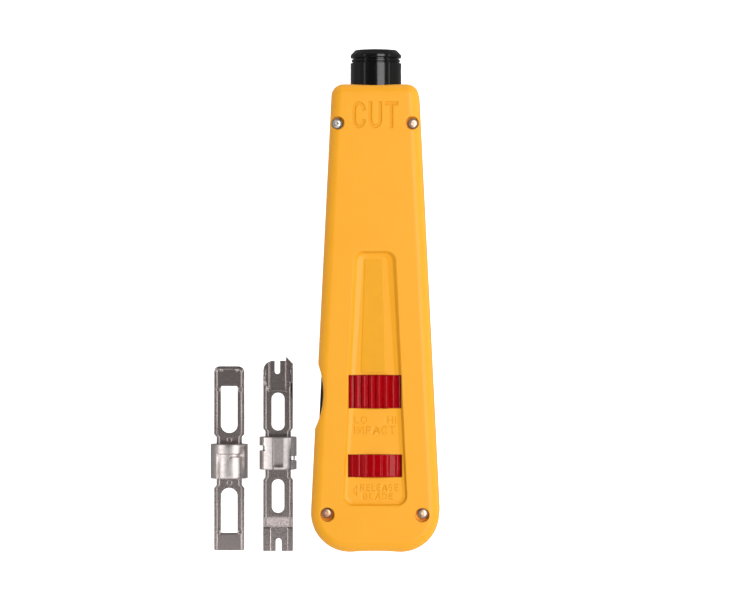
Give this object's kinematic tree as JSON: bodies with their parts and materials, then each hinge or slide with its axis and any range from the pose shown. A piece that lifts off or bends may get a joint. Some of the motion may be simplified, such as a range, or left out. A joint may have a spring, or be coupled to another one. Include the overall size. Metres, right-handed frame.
{
  "type": "punch down tool",
  "caption": "Impact punch down tool: tapered two-shell handle, sprung bayonet barrel, thumbwheels for impact and blade release, swing-out spare carrier, loose 110 and 66 blades.",
  "frame": {"origin": "on the flat back of the handle, on the tool's long axis, half way along the tool", "axes": "+Y along the tool towards the blade socket, +Z out of the front face, +X to the right of someone reading the front face"},
  "size_m": [0.0733, 0.1594, 0.032],
  "materials": {
    "housing_yellow": "satin moulded, fine grain",
    "barrel_black": "gloss black",
    "ring_black": "satin",
    "carrier_black": "matt moulded",
    "wheel_red": "gloss moulded, ribbed",
    "screw_nickel": "nickel plated",
    "collar_nickel": "bright nickel plated, turned",
    "blade_steel": "tumbled tool steel",
    "steel": "machined",
    "bronze": "sintered bronze",
    "spring_steel": "drawn wire"
  },
  "bodies": {
    "housing": {"back_shell": "housing_yellow", "front_shell": "housing_yellow", "screw_top_left": "screw_nickel", "screw_top_right": "screw_nickel", "screw_bottom_left": "screw_nickel", "screw_bottom_right": "screw_nickel", "front_bushing": "bronze", "guide_tube": "steel", "thrust_washer": "steel", "detent_ball": "steel", "detent_spring": "spring_steel", "carrier_catch": "spring_steel", "main_spring": "spring_steel", "release_spring": "spring_steel"},
    "barrel": {"barrel": "barrel_black", "bayonet_pin_left": "steel", "bayonet_pin_right": "steel", "retaining_ring": "ring_black", "barrel_stem": "steel", "return_spring": "spring_steel"},
    "lock_cam": {"lock_cam": "steel"},
    "hammer": {"hammer": "steel", "latch_spring": "spring_steel"},
    "latch": {"latch_plate": "steel"},
    "spring_seat": {"spring_seat": "bronze"},
    "impact_wheel": {"impact_wheel": "wheel_red"},
    "release": {"release_wheel": "wheel_red", "release_rod": "steel"},
    "carrier": {"spare_blade_carrier": "carrier_black"},
    "blade_110": {"blade_110_plate": "blade_steel", "blade_110_collar": "collar_nickel"},
    "blade_66": {"blade_66_plate": "blade_steel", "blade_66_collar": "collar_nickel"}
  },
  "joints": [
    {"name": "barrel_slide", "type": "slide", "parent": "housing", "child": "barrel", "axis": [0, -1, 0], "range_m": [0, 0.009], "stiffness_N_per_m": 5000, "springref_m": -0.006},
    {"name": "hammer_slide", "type": "slide", "parent": "housing", "child": "hammer", "axis": [0, -1, 0], "range_m": [0, 0.009], "deforming": ["main_spring"]},
    {"name": "latch_shift", "type": "slide", "parent": "hammer", "child": "latch", "axis": [-1, 0, 0], "range_m": [0, 0.0015], "deforming": ["latch_spring"]},
    {"name": "impact_turn", "type": "hinge", "parent": "housing", "child": "impact_wheel", "pos_m": [0, -0.0287, 0.018], "axis": [0, 1, 0], "range_deg": [0, 20], "deforming": ["detent_spring"]},
    {"name": "seat_slide", "type": "slide", "parent": "housing", "child": "spring_seat", "axis": [0, 1, 0], "range_m": [0, 0.004]},
    {"name": "release_turn", "type": "hinge", "parent": "housing", "child": "release", "pos_m": [0, -0.05195, 0.018], "axis": [0, 1, 0], "range_deg": [-20, 0], "stiffness_Nm_per_rad": 0.05, "springref_deg": 17.19, "deforming": ["release_spring"]},
    {"name": "cam_turn", "type": "hinge", "parent": "barrel", "child": "lock_cam", "pos_m": [0, 0.0438, 0.018], "axis": [0, 1, 0], "range_deg": [-20, 0]},
    {"name": "carrier_swing", "type": "hinge", "parent": "housing", "child": "carrier", "pos_m": [-0.0149, -0.0672, 0.018], "axis": [0, 0, 1], "range_deg": [0, 75]},
    {"name": "blade_110_lift", "type": "slide", "parent": "housing", "child": "blade_110", "axis": [0, 0, 1], "range_m": [0, 0.04]},
    {"name": "blade_66_lift", "type": "slide", "parent": "housing", "child": "blade_66", "axis": [0, 0, 1], "range_m": [0, 0.04]}
  ],
  "couplings": [
    {"joint": "hammer_slide", "follows": "barrel_slide", "ratio": 1},
    {"joint": "latch_shift", "follows": "barrel_slide", "ratio": 0.1666},
    {"joint": "seat_slide", "follows": "impact_turn", "m_per_rad": 0.011459},
    {"joint": "cam_turn", "follows": "release_turn", "ratio": 1}
  ]
}
